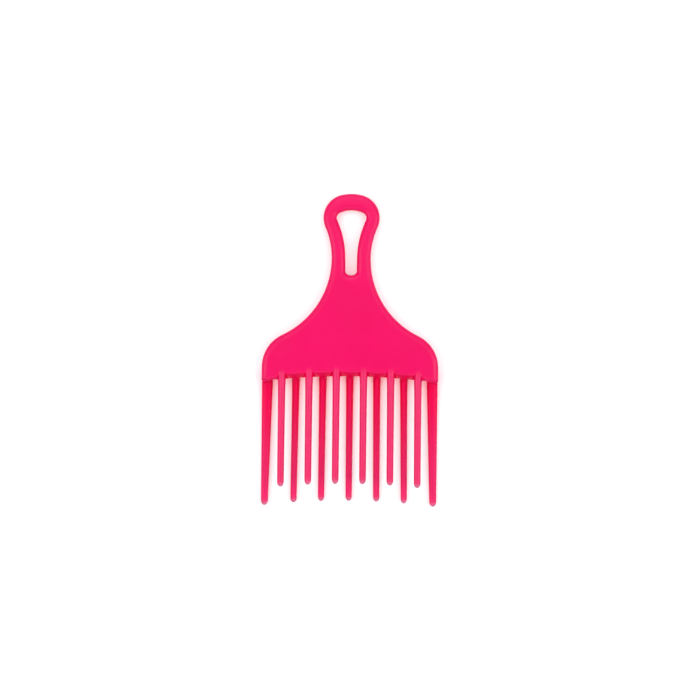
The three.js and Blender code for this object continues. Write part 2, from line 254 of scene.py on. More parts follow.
class CombFinish(PropertyGroup):
    """Colour and surface of the plastic, with the colours of its painted light and painted shade."""

    colour: tint("Colour", (0.956, 0.0008, 0.138), "Colour of the plastic")
    shade: tint("Shade", (0.925, 0.0005, 0.126), "Colour where the pigment is denser")
    # Painted shade: deeper colour in the pockets and at the rear roots, where the head and the front row
    # keep light off
    painted_shade_colour: tint("Deep colour", (0.956, 0.0003, 0.09), "Colour in the pockets and at the rear roots")
    # Painted light: paler colour at the tips, over the teeth and on the front roots' crests, for light
    # through the thin plastic and the highlights on them
    painted_light_colour: tint("Tip colour", (0.8, 0.22, 0.375), "Colour of the thin ends of the teeth")
    smooth: portion("Smooth roughness", 0.31, "Roughness of the most polished areas")
    dull: portion("Dull roughness", 0.35, "Roughness of the dullest areas")


class CombStudio(PropertyGroup):
    """Camera, lamps and floor."""

    camera_height: size("Camera height", 605, "Height of the camera above the floor")
    frame_width: size("Frame width", 367.9, "Width that the picture spans halfway up the comb")
    camera_place: size("Camera place", -0.1, "Place of the camera across the comb")
    turn: FloatProperty(
        name="Turn",
        description="Turn of the camera about its own axis",
        default=math.radians(0.62),
        unit="ROTATION",
    )
    lamp_power: FloatProperty(
        name="Lamp power",
        description="Power of the two main softboxes",
        default=3.95,
        unit="POWER",
    )
    wall_light: portion("Wall light", 0.28, "Brightness of the pale walls")
    ceiling_light: portion("Ceiling light", 0.048, "Brightness of the dim ceiling")
    floor_lift: portion("Floor lift", 0.27, "Brightness added to the open floor")
    # Painted pink light and shade on the floor at the tooth roots, in place of the floor lift
    root_glow: tint("Root glow", (0.4, 0.15, 0.165), "Pink light added to the floor at the tooth roots")
    floor_colour: tint("Floor colour", (0.96, 0.96, 0.96), "Colour of the floor")


def node_points(name):
    """Vertices of a CAD node as one array."""
    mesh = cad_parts[name].data
    points = np.empty(len(mesh.vertices) * 3, np.float32)
    mesh.vertices.foreach_get("co", points)
    return points.reshape(-1, 3).astype(float)


def tooth_axis(name):
    """Ends of a CAD tooth's axis: the middle of its seat, at its highest level, and its lowest point."""
    points = node_points(name)
    seat = points[points[:, 1] > points[:, 1].max() - SEAT_DEPTH]
    return (seat.min(0) + seat.max(0)) / 2, points[points[:, 1].argmin()]


def hollow_radius(neck_width, centre_x, radius, levels):
    """Radius of the hollow arc that is upright at the neck and touches a round above or below it."""
    offset = centre_x - neck_width / 2
    return (offset**2 + levels**2 - radius**2) / (2 * (offset + radius))


def loop_arcs(body):
    """Centre and radius of the loop's side arcs, and the angle where they touch the crown's flatter arc."""
    depth = body.crown_radius - body.crown_height
    reach = body.crown_radius**2 - depth**2 - (body.loop_width / 2) ** 2
    radius = reach / (2 * body.crown_radius - body.loop_width)
    centre_x = body.loop_width / 2 - radius
    return centre_x, radius, math.atan2(depth, centre_x)


def comb_plan(scene):
    """Levels, radii and places that follow from the sizes and from the CAD teeth."""
    body = scene.comb_body
    teeth = scene.comb_teeth
    plan = SimpleNamespace(body=body, teeth=teeth)
    plan.half = body.head_width / 2
    plan.crown_y = BODY_HIGH.y
    plan.loop_y = plan.crown_y - body.crown_height
    plan.neck_y = plan.loop_y - body.loop_to_neck
    plan.shoulder_y = plan.neck_y - body.neck_to_shoulder
    plan.lip_y = plan.shoulder_y - body.shoulder_to_lip
    plan.loop_x, plan.loop_radius, plan.crown_angle = loop_arcs(body)
    plan.waist = hollow_radius(body.neck_width, plan.loop_x, plan.loop_radius, body.loop_to_neck)
    plan.waist_x = body.neck_width / 2 + plan.waist
    plan.face_slope = (body.lip_thickness - body.crown_thickness) / (plan.crown_y - plan.lip_y)
    first, _ = tooth_axis("front_tooth_1")
    last, _ = tooth_axis(f"front_tooth_{teeth.rear_count + 1}")
    end, _ = tooth_axis("end_tooth_right")
    plan.pitch = (last[0] - first[0]) / teeth.rear_count
    plan.last_rear = (teeth.rear_count - 1) // 2
    plan.end_x = end[0]
    rear_crest = teeth.rest_clearance + teeth.root_depth
    front_underside = body.lip_thickness + teeth.front_rise - teeth.root_depth
    plan.web_top = (rear_crest + front_underside + teeth.web) / 2
    plan.web_bottom = plan.web_top - teeth.web
    return plan


def lip_level(plan, x):
    """Y of the lip at x: an arch of the lip's radius, highest on the centre line."""
    radius = plan.body.lip_radius
    return plan.lip_y - radius + np.sqrt(radius**2 - x**2)


def face_level(plan, y):
    """Z of the front face at y, which rises evenly from the crown to the lip."""
    return plan.body.crown_thickness + plan.face_slope * (plan.crown_y - y)


def arc(centre, radii, start, end, steps=ARC_STEPS):
    """Points of a circle or an ellipse from one angle to another."""
    angle = np.linspace(start, end, steps + 1)
    return np.stack([centre[0] + radii[0] * np.cos(angle), centre[1] + radii[1] * np.sin(angle)], axis=-1)


def travelled(path):
    """Way along a path to each of its points."""
    return np.concatenate([[0.0], np.cumsum(np.linalg.norm(np.diff(path, axis=0), axis=1))])


def joined(*stretches):
    """One path through several stretches, in which the point that two neighbours share is kept once."""
    points = np.concatenate(stretches)
    step = np.linalg.norm(np.diff(points, axis=0), axis=1)
    return points[np.concatenate([[True], step > WELD])]


def point_at(path, way):
    """Points of a path at the given ways along it."""
    at = travelled(path)
    return np.stack([np.interp(way, at, path[:, 0]), np.interp(way, at, path[:, 1])], axis=-1)


def distance_to(path, points):
    """Least distance from each point to the straight steps of a path."""
    step = np.diff(path, axis=0)
    offset = points[..., None, :] - path[:-1]
    share = np.clip((offset * step).sum(-1) / (step**2).sum(-1), 0, 1)
    return np.sqrt(((offset - share[..., None] * step) ** 2).sum(-1).min(-1))


def lip_path(plan, end):
    """Points of the lip from the centre line to its end."""
    x = np.linspace(0, end, ARC_STEPS + 1)
    return np.stack([x, lip_level(plan, x)], axis=-1)


def outer_path(plan):
    """Right half of the outline from lip to crown: corner, side, shoulder, flare, waist, loop and crown."""
    body = plan.body
    corner_x = plan.half - body.lip_corner
    corner_rise = math.sqrt((body.lip_radius + body.lip_corner) ** 2 - corner_x**2)
    corner = (corner_x, plan.lip_y - body.lip_radius + corner_rise)
    spread = math.atan2(corner_x, corner_rise)
    shoulder_x = plan.half - body.shoulder_radius
    flare = hollow_radius(body.neck_width, shoulder_x, body.shoulder_radius, body.neck_to_shoulder)
    flare_x = body.neck_width / 2 + flare
    flare_angle = math.atan2(body.neck_to_shoulder, flare_x - shoulder_x)
    waist_angle = math.atan2(body.loop_to_neck, plan.waist_x - plan.loop_x)
    loop_round = (plan.loop_radius, plan.loop_radius)
    shoulder_round = (body.shoulder_radius, body.shoulder_radius)
    crown = (0, plan.crown_y - body.crown_radius)
    return joined(
        arc(corner, (body.lip_corner, body.lip_corner), -QUARTER - spread, 0, CORNER_STEPS),
        arc((shoulder_x, plan.shoulder_y), shoulder_round, 0, flare_angle),
        arc((flare_x, plan.neck_y), (flare, flare), flare_angle + math.pi, math.pi),
        arc((plan.waist_x, plan.neck_y), (plan.waist, plan.waist), math.pi, math.pi - waist_angle),
        arc((plan.loop_x, plan.loop_y), loop_round, -waist_angle, plan.crown_angle),
        arc(crown, (body.crown_radius, body.crown_radius), plan.crown_angle, QUARTER),
    )


def slot_stretches(plan):
    """Right half of the slot's outline from foot to crown, in four stretches: foot, side, corner and arch.

    The foot is a quarter ellipse, from which a straight taper leads to the neck. From there the side follows
    the waist at the bar's width, and the corner is the round that touches both the side and the arch.
    """
    body = plan.body
    side = Vector((plan.waist_x, plan.neck_y))
    side_radius = plan.waist + body.bar_width
    crown = Vector((0, plan.crown_y - body.crown_bar - body.slot_crown_radius))
    inner = body.slot_crown_radius - body.slot_corner_radius
    outer = side_radius + body.slot_corner_radius
    between = side - crown
    reach = (between.length_squared + inner**2 - outer**2) / (2 * between.length)
    rise = math.sqrt(inner**2 - reach**2)
    ahead = between.normalized()
    corner = crown + ahead * reach + Vector((-ahead.y, ahead.x)) * rise
    side_angle = math.atan2(corner.y - side.y, corner.x - side.x)
    crown_angle = math.atan2(corner.y - crown.y, corner.x - crown.x)
    foot = body.neck_width / 2 - body.bar_width - body.slot_taper
    foot_y = plan.neck_y - body.slot_foot_drop + body.slot_foot_height
    round_corner = (body.slot_corner_radius, body.slot_corner_radius)
    return [
        arc((0, foot_y), (foot, body.slot_foot_height), -QUARTER, 0, CORNER_STEPS),
        arc(side, (side_radius, side_radius), math.pi, side_angle),
        arc(corner, round_corner, side_angle - math.pi, crown_angle, CORNER_STEPS),
        arc(crown, (body.slot_crown_radius, body.slot_crown_radius), crown_angle, QUARTER, CORNER_STEPS),
    ]


def eased(count):
    """Shares from 0 to 1 that lie closer together at both ends."""
    return (1 - np.cos(np.linspace(0, math.pi, count + 1))) / 2


def body_rows(plan):
    """Inner and outer end of each row of the body's grid, with the paths on which they lie.

    Rows near the lip follow the lip. Above them, each station pairs a place on the centre line or the slot's
    edge with a level of the outline, and the rows between two stations lie evenly or closer to an edge.
    """
    body = plan.body
    outer = outer_path(plan)
    outer_way = travelled(outer)
    height = outer[:, 1] - lip_level(plan, outer[:, 0])
    lip_rows = LIP_STRIP * (1 - np.cos(np.linspace(0, QUARTER, LIP_ROWS + 1)))
    strip_inner = np.stack([np.zeros_like(lip_rows), plan.lip_y + lip_rows], axis=-1)
    strip_outer = point_at(outer, np.interp(lip_rows, height, outer_way))
    slot = slot_stretches(plan)
    foot = slot[0][0]
    near_foot = foot - (0, body.edge_run)
    stations = [
        (strip_inner[-1], strip_outer[-1, 1]),
        (near_foot, near_foot[1] - FOOT_SLANT * body.edge_run),
        (foot, foot[1] - body.edge_run),
        (slot[0][-1], slot[0][-1, 1]),
        (slot[1][0], plan.neck_y),
        (slot[1][-1], plan.loop_y),
        (slot[2][-1], plan.loop_y + body.crown_height * math.sin(CROWN_TURN)),
        (slot[3][-1], plan.crown_y),
    ]
    inner = joined(np.array([strip_inner[-1], near_foot, foot]), *slot)
    inner_way = travelled(inner)
    inner_keys = [inner_way[np.abs(inner - place).sum(-1).argmin()] for place, _ in stations]
    outer_keys = np.interp([level for _, level in stations], outer[:, 1], outer_way)
    counts = (HEAD_ROWS, FOOT_ROWS, FOOT_ROWS, FOOT_ROWS // 2, SIDE_ROWS, CROWN_ROWS, CROWN_ROWS)
    shares = [np.linspace(0, 1, count + 1) for count in counts]
    shares[1] = np.sin(np.linspace(0, QUARTER, FOOT_ROWS + 1))
    station = np.concatenate([i + share[1:] for i, share in enumerate(shares)])
    numbers = np.arange(len(stations))
    rows = SimpleNamespace()
    rows.inner = np.concatenate([strip_inner, point_at(inner, np.interp(station, numbers, inner_keys))])
    rows.outer = np.concatenate([strip_outer, point_at(outer, np.interp(station, numbers, outer_keys))])
    rows.in_strip = np.arange(len(rows.inner)) < len(lip_rows)
    rows.first_slot_row = len(lip_rows) + HEAD_ROWS + FOOT_ROWS - 1
    rows.sag = np.concatenate([np.ones(len(lip_rows)), np.clip(1 - station, 0, 1)])
    rows.lip = lip_path(plan, outer[0, 0])
    rows.outline = outer
    rows.slot = joined(*slot)
    return rows


def core_columns(plan):
    """Places across the head at the lip, from the first root's flank outwards, closer at every flank."""
    teeth = plan.teeth
    middles = np.arange(2 * plan.last_rear + 2) * plan.pitch / 2
    widths = np.where(np.arange(len(middles)) % 2, teeth.front_root_width, teeth.rear_root_width)
    flanks = np.sort(np.concatenate([middles - widths / 2, middles + widths / 2]))
    flanks = np.concatenate([flanks[1:], [plan.end_x - teeth.end_root_width / 2]])
    spans = [a + (b - a) * eased(GAP_COLUMNS)[:-1] for a, b in zip(flanks[:-1], flanks[1:])]
    return np.concatenate([*spans, flanks[-1:]])


def body_grid(plan, rows):
    """Plan positions of the right half's grid: each row runs from its inner to its outer end.

    Rows are bent like the lip by their sag, and their last columns crowd towards the outline.
    """
    core = core_columns(plan)
    across = rows.outer - rows.inner
    length = np.linalg.norm(across, axis=1)
    ahead = across / length[:, None]
    outer_turn = np.gradient(rows.outer, axis=0)
    outer_turn /= np.linalg.norm(outer_turn, axis=1)[:, None]
    sine = np.abs(ahead[:, 0] * outer_turn[:, 1] - ahead[:, 1] * outer_turn[:, 0])
    reach = np.where(rows.in_strip, plan.half, length)
    shown = core[None, :] * (reach / plan.half)[:, None]
    last = shown[:, -1]
    slanted_run = plan.body.edge_run / np.maximum(sine, LEAST_SINE)
    rim = np.minimum(slanted_run, RIM_SHARE * (length - last))
    inner_part = eased(RIM_COLUMNS)[None, :-1] * shown[:, :1]
    end_part = last[:, None] + (length - rim - last)[:, None] * np.linspace(0, 1, GAP_COLUMNS)[None, 1:-1]
    crowded = 1 - np.cos(np.linspace(QUARTER, 0, RIM_COLUMNS + 1))
    rim_part = length[:, None] - rim[:, None] * crowded[None, :]
    way = np.concatenate([inner_part, shown, end_part, rim_part], axis=1)
    share = way / length[:, None]
    x = rows.inner[:, :1] + share * across[:, :1]
    y = rows.inner[:, 1:] + share * across[:, 1:]
    inner_lip = lip_level(plan, rows.inner[:, :1])
    outer_lip = lip_level(plan, rows.outer[:, :1])
    bend = lip_level(plan, x) - inner_lip - share * (outer_lip - inner_lip)
    return x, y + rows.sag[:, None] * bend


def smooth_step(share):
    """A share from 0 to 1 that starts and ends level."""
    share = np.clip(share, 0, 1)
    return share * share * (3 - 2 * share)


def soft_max(one, other, blend):
    """The larger of two heights, with a rounded hollow of the given size where they meet."""
    share = np.clip(0.5 + (one - other) / (2 * blend), 0, 1)
    return other + (one - other) * share + blend * share * (1 - share)


def round_drop(gap, run, fall):
    """Fall of a rounded edge at a distance from it, as wide as its run and as high as its fall.

    It is a quarter ellipse with a power a little over 2 on the face's side, so that it leaves it softly.
    """
    inside = np.clip(1 - gap / run, 0, 1)
    return fall * (1 - np.sqrt(1 - inside**EDGE_SOFTNESS))


def tongue_fall(height, run, fall):
    """Fall of a tongue at a height above the lip: a parabola, level where it leaves the face."""
    return fall * np.clip(1 - height / run, 0, 1) ** 2


def edge_gap(rows, points):
    """Distance from each point to the nearest edge, eased where the lip and the outline meet in a corner."""
    lip = distance_to(rows.lip, points)
    outline = distance_to(rows.outline, points)
    outer = -soft_max(-lip, -outline, CORNER_EASE)
    return np.minimum(outer, distance_to(rows.slot, points))


def pocket_share(plan, sideways, height, half_gap, drop):
    """How deep a place lies in a root pocket, from 0 on the face to 1 on the pocket's floor.

    The face's border is a half ellipse that hangs down from the pocket's top between two roots. The distance
    past it is the ellipse's own equation over its slope, and the wall falls along a smooth step of it.
    """
    teeth = plan.teeth
    below = teeth.pocket_height - height
    ring = np.hypot(sideways / half_gap, below / drop)
    slope = np.hypot(sideways / half_gap**2, below / drop**2) / np.maximum(ring, WELD)
    past = np.minimum((ring - 1) / np.maximum(slope, WELD), below)
    return smooth_step(past / teeth.pocket_wall)


def root_crest(plan, sideways, height, half_width):
    """Height of a root above its axis: half an ellipse across, which shrinks along the root's domed end.

    Past the root's flank it goes on falling steeply, so that the flank meets the pocket's floor in a hollow.
    """
    teeth = plan.teeth
    over = np.clip((height - teeth.root_run + teeth.root_dome) / teeth.root_dome, 0, 1)
    size_left = np.sqrt(1 - over**2)
    reach = np.abs(sideways) / half_width
    crest = teeth.root_depth / 2 * np.sqrt(np.clip(size_left**2 - reach**2, 0, None))
    return crest - FLANK_FALL * half_width * np.clip(reach - size_left, 0, None)


def last_front_root(plan):
    """X of the outermost front root."""
    return (plan.last_rear + 0.5) * plan.pitch


def front_root_middle(plan, x):
    """X of the front root nearest to each place; the front roots stand midway between the rear ones."""
    return np.minimum(plan.pitch * (np.floor(x / plan.pitch) + 0.5), last_front_root(plan))


def rear_root_middle(plan, x):
    """X of the rear root nearest to each place, which is also the middle of a gap in the front row."""
    return plan.pitch * np.clip(np.round(x / plan.pitch), 0, plan.last_rear)


def between_ends(plan, x):
    """1 between the end teeth, falling to 0 over half the width of an end tooth's root."""
    end_half = plan.teeth.end_root_width / 2
    return 1 - smooth_step((x - plan.end_x + end_half) / end_half)


def web_setback(plan, x, y):
    """How far the web between the teeth is drawn up: most at the lip, none up the head or at its ends."""
    near = 1 - smooth_step((y - lip_level(plan, x)) / LIP_STRIP)
    return plan.teeth.web_setback * near * between_ends(plan, x)


def front_level(plan, x, y, gap):
    """Z of the body's front: the rising face with rounded edges, sunk in the pockets, and the front roots.

    Between the roots the face ends in tongues, which bend down to the web along a parabola.
    """
    body = plan.body
    teeth = plan.teeth
    height = y - lip_level(plan, x)
    face = face_level(plan, y)
    last_root = last_front_root(plan)
    half_gap = (plan.pitch - teeth.front_root_width) / 2
    between = pocket_share(plan, x - rear_root_middle(plan, x), height, half_gap, teeth.tongue_drop)
    end_middle = last_root + teeth.front_root_width / 2 + teeth.end_pocket
    past_end = np.minimum(x - end_middle, 0)
    outside = pocket_share(plan, past_end, height, teeth.end_pocket, teeth.pocket_height)
    share = np.where(x < last_root, between, outside)
    edge = round_drop(gap, body.edge_run, body.edge_fall)
    tongue = np.where(x < last_root, tongue_fall(height, teeth.round_over, face - plan.web_top), 0)
    base = face - np.maximum(edge, tongue)
    floor = plan.web_top - round_drop(height, teeth.web_edge, teeth.web_edge)
    crest = root_crest(plan, x - front_root_middle(plan, x), height, teeth.front_root_width / 2)
    axis = face + teeth.front_rise - teeth.root_depth / 2
    return soft_max(base + (floor - base) * share, axis + crest, HOLLOW)


def back_level(plan, x, y, gap):
    """Z of the body's back: flat with rounded edges, raised in the root pockets, and the rear roots.

    Its tongues lie between the rear roots and bend up to the web, as the front's bend down.
    """
    body = plan.body
    teeth = plan.teeth
    height = y - lip_level(plan, x)
    inside = between_ends(plan, x)
    half_gap = (plan.pitch - teeth.rear_root_width) / 2
    between = pocket_share(plan, x - front_root_middle(plan, x), height, half_gap, teeth.tongue_drop)
    edge = round_drop(gap, body.edge_run, body.edge_fall)
    base = np.maximum(edge, inside * tongue_fall(height, teeth.round_over, plan.web_bottom))
    ceiling = plan.web_bottom + round_drop(height, teeth.web_edge, teeth.web_edge)
    rear_crest = root_crest(plan, x - rear_root_middle(plan, x), height, teeth.rear_root_width / 2)
    end_crest = root_crest(plan, x - plan.end_x, height, teeth.end_root_width / 2)
    crest = np.where(x < last_front_root(plan), rear_crest, end_crest)
    axis = teeth.rest_clearance + teeth.root_depth / 2
    level = -soft_max(-(base + (ceiling - base) * (inside * between)), crest - axis, HOLLOW)
    return np.maximum(level, 0)


def grid_faces(index):
    """Quads of a grid of point numbers, each named round from its first corner along the row."""
    corners = [index[:-1, :-1], index[:-1, 1:], index[1:, 1:], index[1:, :-1]]
    return np.stack(corners, axis=-1).reshape(-1, 4)


def welded(points, quads):
    """The surface with points in one place made one; a quad that loses a corner becomes a triangle."""
    place = np.round(points / WELD).astype(np.int64)
    _, first, same = np.unique(place, axis=0, return_index=True, return_inverse=True)
    quads = same.reshape(-1)[quads]
    kept = quads != np.roll(quads, 1, axis=1)
    corners = kept.sum(axis=1)
    thin = corners == 3
    triangles = quads[thin][kept[thin]].reshape(-1, 3)
    return points[first], quads[corners == 4].tolist() + triangles.tolist()


def body_surface(plan):
    """The body's closed surface: front and back sheets over one grid, joined by walls and mirrored in X.

    The walls stand along the outline, the lip and the slot, where both sheets end in a rounded edge.
    """
    rows = body_rows(plan)
    x, y = body_grid(plan, rows)
    gap = edge_gap(rows, np.stack([x, y], axis=-1))
    shown_y = y + web_setback(plan, x, y)
    front = np.stack([x, shown_y, front_level(plan, x, y, gap)], axis=-1).reshape(-1, 3)
    back = np.stack([x, shown_y, back_level(plan, x, y, gap)], axis=-1).reshape(-1, 3)
    upper = np.arange(x.size).reshape(x.shape)
    lower = upper + x.size
    slot = slice(rows.first_slot_row, None)
    quads = np.concatenate(
        [
            grid_faces(upper),
            grid_faces(lower)[:, ::-1],
            grid_faces(np.stack([upper[:, -1], lower[:, -1]])[:, ::-1]),
            grid_faces(np.stack([upper[0], lower[0]])[:, ::-1]),
            grid_faces(np.stack([upper[slot, 0], lower[slot, 0]])),
        ]
    )
    right = np.concatenate([front, back])
    both = np.concatenate([right, right * (-1, 1, 1)])
    return welded(both, np.concatenate([quads, quads[:, ::-1] + len(right)]))


def bent(wave, power):
    """A sine or cosine bent so that the pair draws a section of the given power; power 2 is a circle."""
    return np.sign(wave) * np.abs(wave) ** (2 / power)


def tooth_surface(plan, name, widths, leaning, power):
    """One tooth with its root: a rounded section carried from inside the head to an egg-shaped tip.

    Its width eases from the root's flare to the shank and narrows evenly to the tip. Near the lip the
    section also spreads towards the web along a quarter ellipse, and its rings follow the lip's arch.
    """
    teeth = plan.teeth
    root_width, shank_width, tip_width = widths
    seat, tip = tooth_axis(name)
    length = lip_level(plan, seat[0]) - tip[1]
    straight = length - teeth.tip_dome
    tucked_depth, tucked_size = np.array(TUCKED_RINGS).T
    tucked = tucked_depth * -teeth.root_run / 2
    shank = straight * np.linspace(0, 1, TOOTH_RINGS + 1) ** 2
    dome = np.linspace(0, QUARTER, DOME_RINGS + 1)[1:]
    way = np.concatenate([tucked, shank, straight + teeth.tip_dome * np.sin(dome)])[:, None]
    size_left = np.concatenate([tucked_size, np.ones(TOOTH_RINGS + 1), np.cos(dome)])[:, None]
    turn = np.linspace(0, 2 * math.pi, TOOTH_SIDES + 1)[None, :]
    across = bent(np.cos(turn), power)
    through = bent(np.sin(turn), power)
    share = np.clip(way / length, 0, 1)
    flare = (root_width - shank_width) * np.exp(-np.clip(way, 0, None) / teeth.flare_run)
    half_width = (shank_width + (tip_width - shank_width) * share + flare) / 2
    half_depth = (teeth.root_depth + (teeth.tip_depth - teeth.root_depth) * share) / 2
    spread = round_drop(np.clip(way, 0, None), teeth.fillet_run, teeth.root_fillet)
    axis_share = (way - length + seat[1] - tip[1]) / (seat[1] - tip[1])
    middle_x = seat[0] + (tip[0] - seat[0]) * axis_share
    middle_z = seat[2] + (tip[2] - seat[2]) * axis_share
    x = middle_x + size_left * half_width * across
    fillet = leaning * spread * np.clip(leaning * through, 0, 1)
    z = np.minimum(middle_z + size_left * (half_depth * through + fillet), CAD_HIGH.z)
    arch = 1 - smooth_step(way / teeth.flare_run)
    level = lip_level(plan, seat[0]) + arch * (lip_level(plan, x) - lip_level(plan, seat[0]))
    points = np.stack([x, np.broadcast_to(level - way, x.shape), z], axis=-1).reshape(-1, 3)
    return welded(points, grid_faces(np.arange(x.size).reshape(x.shape)))


def body_marks(plan, points):
    """How much painted light and painted shade each point of the body takes, from 0 to 1, on the front only.

    Painted shade lies where a point is deep below the face and near the lip, where light is kept off. The
    front roots' crests take as much painted light as their teeth at the lip, for their highlight, and less
    up the head and towards their flanks.
    """
    x, y, z = points.T
    across = np.abs(x)
    sideways = np.abs(across - front_root_middle(plan, across)) / (plan.teeth.front_root_width / 2)
    height = y - lip_level(plan, x)
    front = z > plan.web_bottom
    sunk = smooth_step((face_level(plan, y) - z) / PAINTED_SHADE_SINK)
    low = smooth_step(1 - height / PAINTED_SHADE_HEIGHT)
    painted_shade = sunk * low * front * (across < last_front_root(plan))
    crest = smooth_step((1 - sideways) / CREST_FADE) * smooth_step(1 - height / plan.teeth.root_run)
    return {PAINTED_LIGHT_MARK: PAINTED_LIGHT_SHARE * crest * front, PAINTED_SHADE_MARK: painted_shade}


def tooth_marks(plan, points, in_painted_shade):
    """Painted light on a tooth at each point, most at its tip, for light through the thin plastic and the
    highlight on its dome, and painted shade, most at the lip and on the rear row only, 0 to 1.
    """
    x, y, _ = points.T
    tip = smooth_step(1 - (y - y.min()) / PAINTED_LIGHT_RUN)
    painted_shade = smooth_step(1 - (lip_level(plan, x) - y) / PAINTED_SHADE_RUN) * in_painted_shade
    return {PAINTED_LIGHT_MARK: np.maximum(tip, PAINTED_LIGHT_SHARE * (1 - painted_shade)), PAINTED_SHADE_MARK: painted_shade}


def add_piece(name, surface, marks, finish):
    """Puts a surface into the scene as one piece that stands for the CAD node of the same name."""
    points, faces = surface
    mesh = bpy.data.meshes.new(name)
    mesh.from_pydata(points.tolist(), [], faces)
    mesh.shade_smooth()
    mesh.set_sharp_from_angle(angle=SHARP_ANGLE)
    mesh.materials.append(finish)
    piece = bpy.data.objects.new(f"{name}_moulding", mesh)
    bpy.context.scene.collection.objects.link(piece)
    for mark, values in marks.items():
        layer = mesh.attributes.new(mark, "FLOAT", "POINT")
        layer.data.foreach_set("value", values.astype(np.float32))
    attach(piece, "root")
    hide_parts(name)
    return piece


def give_shaded_gloss(piece, painted_shade, finish):
    """Gives the less glossy plastic to the faces whose corners all lie more in painted shade than out of it:
    painted shade on their reflection, for the light that the head and the front row keep off.
    """
    mesh = piece.data
    mesh.materials.append(finish)
    corners = np.empty(len(mesh.loops), np.int32)
    mesh.loops.foreach_get("vertex_index", corners)
    starts = np.empty(len(mesh.polygons), np.int32)
    mesh.polygons.foreach_get("loop_start", starts)
    least = np.minimum.reduceat(painted_shade[corners], starts)
    mesh.polygons.foreach_set("material_index", (least > SHADED_GLOSS_FROM).astype(np.int32))


def add_rear_teeth(scene, names, widths, power):
    """Builds teeth of the rear row, which spread up to the web and lie under the front row: they take the
    less glossy plastic, and painted shade that deepens towards their roots.
    """
    plan = comb_plan(scene)
    for name in names:
        surface = tooth_surface(plan, name, widths, UP, power)
        add_piece(name, surface, tooth_marks(plan, surface[0], True), shaded_gloss_plastic(scene.comb_finish))


def faded(tree, value, start, end, low, high):
    """A value that runs from low to high while another passes from start to end, level at both ends."""
    node = tree.nodes.new("ShaderNodeMapRange")
    node.interpolation_type = "SMOOTHSTEP"
    limits = {"From Min": start, "From Max": end, "To Min": low, "To Max": high}
    for name, limit in limits.items():
        node.inputs[name].default_value = limit
    tree.links.new(value, node.inputs["Value"])
    return node.outputs["Result"]


def combined(tree, operation, first, *others):
    """Several values put together one after another by the same operation."""
    for other in others:
        node = tree.nodes.new("ShaderNodeMath")
        node.operation = operation
        tree.links.new(first, node.inputs[0])
        tree.links.new(other, node.inputs[1])
        first = node.outputs["Value"]
    return first


def mixed_colour(tree, share, other):
    """A node whose colour A turns into another as the share rises from 0 to 1."""
    node = tree.nodes.new("ShaderNodeMix")
    node.data_type = "RGBA"
    node.inputs["B"].default_value = (*other, 1)
    tree.links.new(share, node.inputs["Factor"])
    return node


def parts_of(tree, vector):
    """The X, Y and Z of a vector."""
    node = tree.nodes.new("ShaderNodeSeparateXYZ")
    tree.links.new(vector, node.inputs["Vector"])
    return node.outputs


def noise(tree, place, waves, detail):
    """A noise pattern fixed to the piece, with so many waves per metre and octaves of detail."""
    pattern = tree.nodes.new("ShaderNodeTexNoise")
    pattern.inputs["Scale"].default_value = waves
    pattern.inputs["Detail"].default_value = detail
    tree.links.new(place.outputs["Object"], pattern.inputs["Vector"])
    return pattern.outputs["Fac"]


def bumped(tree, height, depth, normal=None):
    """A bump of the given depth in metres, laid over another bump where there is one."""
    node = tree.nodes.new("ShaderNodeBump")
    node.inputs["Distance"].default_value = depth
    tree.links.new(height, node.inputs["Height"])
    if normal:
        tree.links.new(normal, node.inputs["Normal"])
    return node.outputs["Normal"]


def marked(tree, colour, mark, other):
    """A colour that turns into another where the piece carries a mark."""
    share = tree.nodes.new("ShaderNodeAttribute")
    share.attribute_name = mark
    node = mixed_colour(tree, share.outputs["Fac"], other)
    tree.links.new(colour, node.inputs["A"])
    return node.outputs["Result"]


def plastic_colour(tree, settings, place):
    """Pigment that drifts between two colours, with painted shade that deepens it in the pockets and at the
    rear roots, and painted light that makes it paler where the plastic is thin.
    """
    drift = faded(tree, noise(tree, place, *PIGMENT), PATTERN_LOW, PATTERN_HIGH, 0, 1)
    pigment = mixed_colour(tree, drift, settings.shade)
    pigment.inputs["A"].default_value = (*settings.colour, 1)
    deep = marked(tree, pigment.outputs["Result"], PAINTED_SHADE_MARK, settings.painted_shade_colour)
    return marked(tree, deep, PAINTED_LIGHT_MARK, settings.painted_light_colour)


def moulded_plastic(settings, name, gloss):
    """Moulded plastic with patches of more and less polish.

    A fine moulded skin lies over the faint waves that thick plastic takes as it cools.
    """
    material = bpy.data.materials.get(name)
    if material:
        return material
    material = bpy.data.materials.new(name)
    material.use_nodes = True
    tree = material.node_tree
    shader = tree.nodes["Principled BSDF"]
    place = tree.nodes.new("ShaderNodeTexCoord")
    patches = noise(tree, place, *POLISH)
    polish = faded(tree, patches, PATTERN_LOW, PATTERN_HIGH, settings.smooth, settings.dull)
    cooling = bumped(tree, noise(tree, place, *COOLING), COOLING_DEPTH)
    skin = bumped(tree, noise(tree, place, *SKIN), SKIN_DEPTH, cooling)
    tree.links.new(plastic_colour(tree, settings, place), shader.inputs["Base Color"])
    tree.links.new(polish, shader.inputs["Roughness"])
    tree.links.new(skin, shader.inputs["Normal"])
    shader.inputs["IOR"].default_value = PLASTIC_IOR
    shader.inputs["Specular IOR Level"].default_value = gloss
    return material


def satin_plastic(settings):
    """The plastic with its satin gloss, for the body and the front row."""
    return moulded_plastic(settings, SATIN_NAME, SATIN_GLOSS)


def shaded_gloss_plastic(settings):
    """The same plastic with less gloss, for the rear row and the pockets: a shaded copy whose weaker
    reflection is painted shade, for the light that the head and the front row keep off.
    """
    return moulded_plastic(settings, SHADED_GLOSS_NAME, SHADED_GLOSS)


